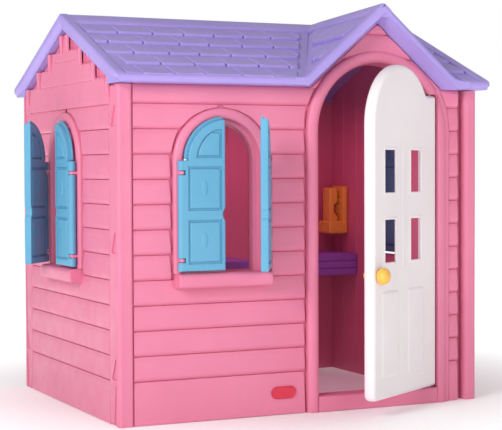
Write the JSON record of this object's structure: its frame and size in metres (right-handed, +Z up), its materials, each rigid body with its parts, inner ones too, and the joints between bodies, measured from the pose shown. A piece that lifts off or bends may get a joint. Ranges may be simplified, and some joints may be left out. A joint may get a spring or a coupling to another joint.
{
  "type": "plastic playhouse",
  "caption": "Moulded plastic cottage playhouse with lap siding, shingled roof and cross gable, arched door that swings, arched windows with opening shutters, counter, shelf and toy phone.",
  "frame": {"origin": "on the ground under the middle of the front wall panel's width and thickness", "axes": "+X to the right as seen from the front, +Y from the front to the back, +Z up"},
  "size_m": [1.3199, 1.1552, 1.2],
  "materials": {
    "pink_plastic": "satin rotomoulded polyethylene",
    "lavender_plastic": "satin rotomoulded polyethylene",
    "blue_plastic": "satin blow-moulded polyethylene",
    "white_plastic": "satin rotomoulded polyethylene",
    "yellow_plastic": "smooth injection-moulded plastic",
    "purple_plastic": "satin blow-moulded polyethylene",
    "badge_print": "blank printed label, gloss",
    "zinc_steel": "zinc plated"
  },
  "bodies": {
    "house": {"front_wall": "pink_plastic", "back_wall": "pink_plastic", "left_wall": "pink_plastic", "right_wall": "pink_plastic", "roof_front": "lavender_plastic", "roof_back": "lavender_plastic", "kitchen_counter": "purple_plastic", "corner_shelf": "purple_plastic", "phone_base": "yellow_plastic", "name_badge": "badge_print", "corner_peg_left_lower": "pink_plastic", "corner_peg_left_upper": "pink_plastic", "corner_peg_right_lower": "pink_plastic", "corner_peg_right_upper": "pink_plastic", "roof_peg_front_left": "pink_plastic", "roof_peg_front_right": "pink_plastic", "roof_peg_rear_left": "pink_plastic", "roof_peg_rear_right": "pink_plastic", "wall_screw_left_low": "zinc_steel", "wall_screw_left_mid": "zinc_steel", "wall_screw_left_high": "zinc_steel", "wall_screw_right_low": "zinc_steel", "wall_screw_right_mid": "zinc_steel", "wall_screw_right_high": "zinc_steel", "ridge_screw_1": "zinc_steel", "ridge_screw_2": "zinc_steel", "ridge_screw_3": "zinc_steel"},
    "door": {"door": "white_plastic", "door_knob_outer": "yellow_plastic", "door_knob_inner": "yellow_plastic", "door_pin_lower": "zinc_steel", "door_pin_upper": "zinc_steel"},
    "front_shutter_left": {"front_shutter_left": "blue_plastic", "front_shutter_left_pin_lower": "zinc_steel", "front_shutter_left_pin_upper": "zinc_steel"},
    "front_shutter_right": {"front_shutter_right": "blue_plastic", "front_shutter_right_pin_lower": "zinc_steel", "front_shutter_right_pin_upper": "zinc_steel"},
    "left_shutter_rear": {"left_shutter_rear": "blue_plastic", "left_shutter_rear_pin_lower": "zinc_steel", "left_shutter_rear_pin_upper": "zinc_steel"},
    "left_shutter_front": {"left_shutter_front": "blue_plastic", "left_shutter_front_pin_lower": "zinc_steel", "left_shutter_front_pin_upper": "zinc_steel"},
    "right_shutter_front": {"right_shutter_front": "blue_plastic", "right_shutter_front_pin_lower": "zinc_steel", "right_shutter_front_pin_upper": "zinc_steel"},
    "right_shutter_rear": {"right_shutter_rear": "blue_plastic", "right_shutter_rear_pin_lower": "zinc_steel", "right_shutter_rear_pin_upper": "zinc_steel"},
    "handset": {"phone_handset": "yellow_plastic"}
  },
  "joints": [
    {"name": "door_hinge", "type": "hinge", "parent": "house", "child": "door", "pos_m": [0.4185, -0.019, 0.49], "axis": [0, 0, 1], "range_deg": [-31, 64]},
    {"name": "front_shutter_left_hinge", "type": "hinge", "parent": "house", "child": "front_shutter_left", "pos_m": [-0.4045, -0.047, 0.58], "axis": [0, 0, -1], "range_deg": [0, 170]},
    {"name": "front_shutter_right_hinge", "type": "hinge", "parent": "house", "child": "front_shutter_right", "pos_m": [-0.1385, -0.047, 0.58], "axis": [0, 0, 1], "range_deg": [-60, 110]},
    {"name": "left_shutter_rear_hinge", "type": "hinge", "parent": "house", "child": "left_shutter_rear", "pos_m": [-0.6065, 0.566, 0.58], "axis": [0, 0, -1], "range_deg": [-41, 129]},
    {"name": "left_shutter_front_hinge", "type": "hinge", "parent": "house", "child": "left_shutter_front", "pos_m": [-0.6065, 0.3, 0.58], "axis": [0, 0, 1], "range_deg": [0, 170]},
    {"name": "right_shutter_front_hinge", "type": "hinge", "parent": "house", "child": "right_shutter_front", "pos_m": [0.6065, 0.3, 0.58], "axis": [0, 0, -1], "range_deg": [0, 170]},
    {"name": "right_shutter_rear_hinge", "type": "hinge", "parent": "house", "child": "right_shutter_rear", "pos_m": [0.6065, 0.566, 0.58], "axis": [0, 0, 1], "range_deg": [0, 170]},
    {"name": "handset_lift", "type": "slide", "parent": "house", "child": "handset", "axis": [0, 0, 1], "range_m": [0, 0.12]}
  ]
}
